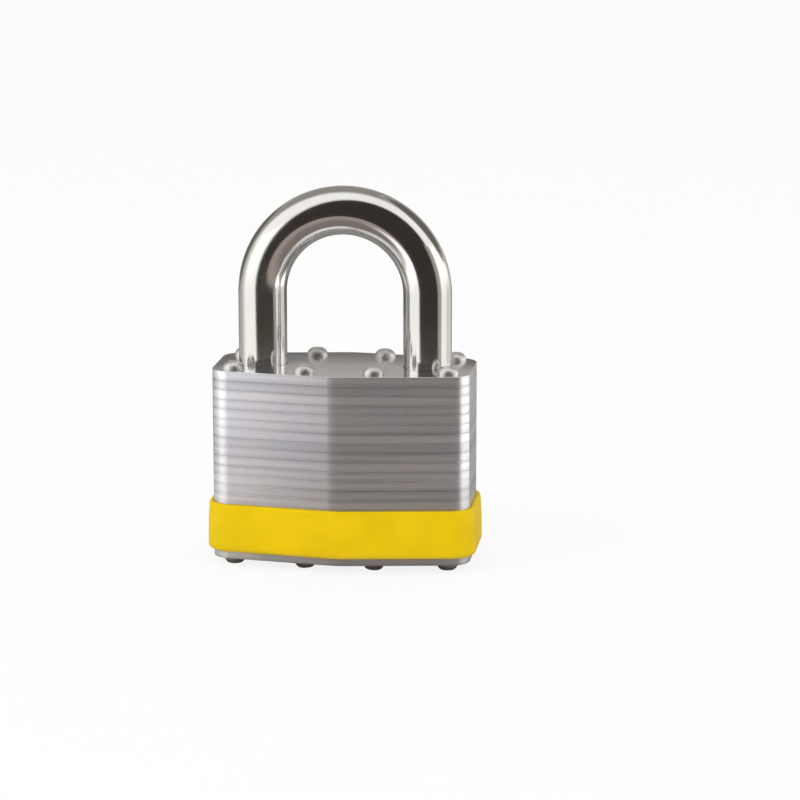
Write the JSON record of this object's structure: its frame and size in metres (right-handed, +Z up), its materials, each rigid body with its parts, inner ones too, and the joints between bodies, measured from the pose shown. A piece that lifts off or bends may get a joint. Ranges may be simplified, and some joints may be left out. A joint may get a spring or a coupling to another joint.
{
  "type": "laminated padlock",
  "caption": "Laminated steel padlock with a round chromed shackle, domed rivets, a yellow vinyl bumper round its foot, and a pin cylinder that turns a cam to draw in its locking levers.",
  "frame": {"origin": "centre of the base at the height of the rivet crowns that the lock stands on", "axes": "+Z up along the shackle's legs, +X across the width towards the toe leg, -Y towards the front that the picture shows"},
  "size_m": [0.0532, 0.0274, 0.0745],
  "materials": {
    "plate_steel": "plated stamped steel with fine horizontal rubbing marks",
    "shackle_chrome": "polished chrome with light scratches",
    "rivet_steel": "bright plated, peened crowns",
    "bumper_vinyl": "satin yellow vinyl",
    "brass": "machined",
    "hard_steel": "tumbled, hardened",
    "spring_steel": "drawn wire"
  },
  "bodies": {
    "case": {"bottom_plate": "plate_steel", "cylinder_plate_01": "plate_steel", "cylinder_plate_02": "plate_steel", "cylinder_plate_03": "plate_steel", "cylinder_plate_04": "plate_steel", "cylinder_plate_05": "plate_steel", "cylinder_plate_06": "plate_steel", "cylinder_plate_07": "plate_steel", "cylinder_plate_08": "plate_steel", "cylinder_plate_09": "plate_steel", "cam_plate_1": "plate_steel", "cam_plate_2": "plate_steel", "lever_foot_plate": "plate_steel", "lever_pivot_plate": "plate_steel", "lever_plate_1": "plate_steel", "lever_plate_2": "plate_steel", "lever_plate_3": "plate_steel", "lever_plate_4": "plate_steel", "lever_plate_5": "plate_steel", "top_plate": "plate_steel", "case_rivets": "rivet_steel", "bumper": "bumper_vinyl", "cylinder_shell": "brass", "pin_chamber_cover": "brass", "heel_lever_pin": "hard_steel", "toe_lever_pin": "hard_steel", "shackle_spring": "spring_steel", "lever_spring": "spring_steel", "pin_spring_1": "spring_steel", "pin_spring_2": "spring_steel", "pin_spring_3": "spring_steel", "pin_spring_4": "spring_steel"},
    "shackle": {"shackle": "shackle_chrome", "shackle_stop_ring": "hard_steel"},
    "plug": {"cylinder_plug": "brass", "plug_cam": "hard_steel", "plug_clip": "hard_steel"},
    "heel_lever": {"heel_lever": "hard_steel"},
    "toe_lever": {"toe_lever": "hard_steel"},
    "key_pin_1": {"key_pin_1": "brass"},
    "key_pin_2": {"key_pin_2": "brass"},
    "key_pin_3": {"key_pin_3": "brass"},
    "key_pin_4": {"key_pin_4": "brass"},
    "driver_pin_1": {"driver_pin_1": "brass"},
    "driver_pin_2": {"driver_pin_2": "brass"},
    "driver_pin_3": {"driver_pin_3": "brass"},
    "driver_pin_4": {"driver_pin_4": "brass"}
  },
  "joints": [
    {"name": "shackle_lift", "type": "slide", "parent": "case", "child": "shackle", "axis": [0, 0, 1], "range_m": [0, 0.0125], "deforming": ["shackle_spring"]},
    {"name": "plug_turn", "type": "hinge", "parent": "case", "child": "plug", "pos_m": [0, 0, 0.0115], "axis": [0, 0, 1], "range_deg": [-90, 0]},
    {"name": "heel_lever_swing", "type": "hinge", "parent": "case", "child": "heel_lever", "pos_m": [-0.0083, 0, 0.02688], "axis": [0, 1, 0], "range_deg": [-22, 0], "deforming": ["lever_spring"]},
    {"name": "toe_lever_swing", "type": "hinge", "parent": "case", "child": "toe_lever", "pos_m": [0.0083, 0, 0.02688], "axis": [0, -1, 0], "range_deg": [-22, 0], "deforming": ["lever_spring"]},
    {"name": "key_pin_1_slide", "type": "slide", "parent": "plug", "child": "key_pin_1", "axis": [0, 1, 0], "range_m": [-0.00065, 0]},
    {"name": "key_pin_2_slide", "type": "slide", "parent": "plug", "child": "key_pin_2", "axis": [0, 1, 0], "range_m": [-0.00135, 0]},
    {"name": "key_pin_3_slide", "type": "slide", "parent": "plug", "child": "key_pin_3", "axis": [0, 1, 0], "range_m": [-0.00095, 0]},
    {"name": "key_pin_4_slide", "type": "slide", "parent": "plug", "child": "key_pin_4", "axis": [0, 1, 0], "range_m": [-0.00165, 0]},
    {"name": "driver_pin_1_slide", "type": "slide", "parent": "case", "child": "driver_pin_1", "axis": [1, 0, 0], "range_m": [0, 0.0016], "stiffness_N_per_m": 60, "springref_m": -0.002, "deforming": ["pin_spring_1"]},
    {"name": "driver_pin_2_slide", "type": "slide", "parent": "case", "child": "driver_pin_2", "axis": [1, 0, 0], "range_m": [0, 0.0016], "stiffness_N_per_m": 60, "springref_m": -0.002, "deforming": ["pin_spring_2"]},
    {"name": "driver_pin_3_slide", "type": "slide", "parent": "case", "child": "driver_pin_3", "axis": [1, 0, 0], "range_m": [0, 0.0016], "stiffness_N_per_m": 60, "springref_m": -0.002, "deforming": ["pin_spring_3"]},
    {"name": "driver_pin_4_slide", "type": "slide", "parent": "case", "child": "driver_pin_4", "axis": [1, 0, 0], "range_m": [0, 0.0016], "stiffness_N_per_m": 60, "springref_m": -0.002, "deforming": ["pin_spring_4"]}
  ],
  "couplings": [
    {"joint": "heel_lever_swing", "follows": "plug_turn", "ratio": 0.2444},
    {"joint": "toe_lever_swing", "follows": "plug_turn", "ratio": 0.2444}
  ]
}
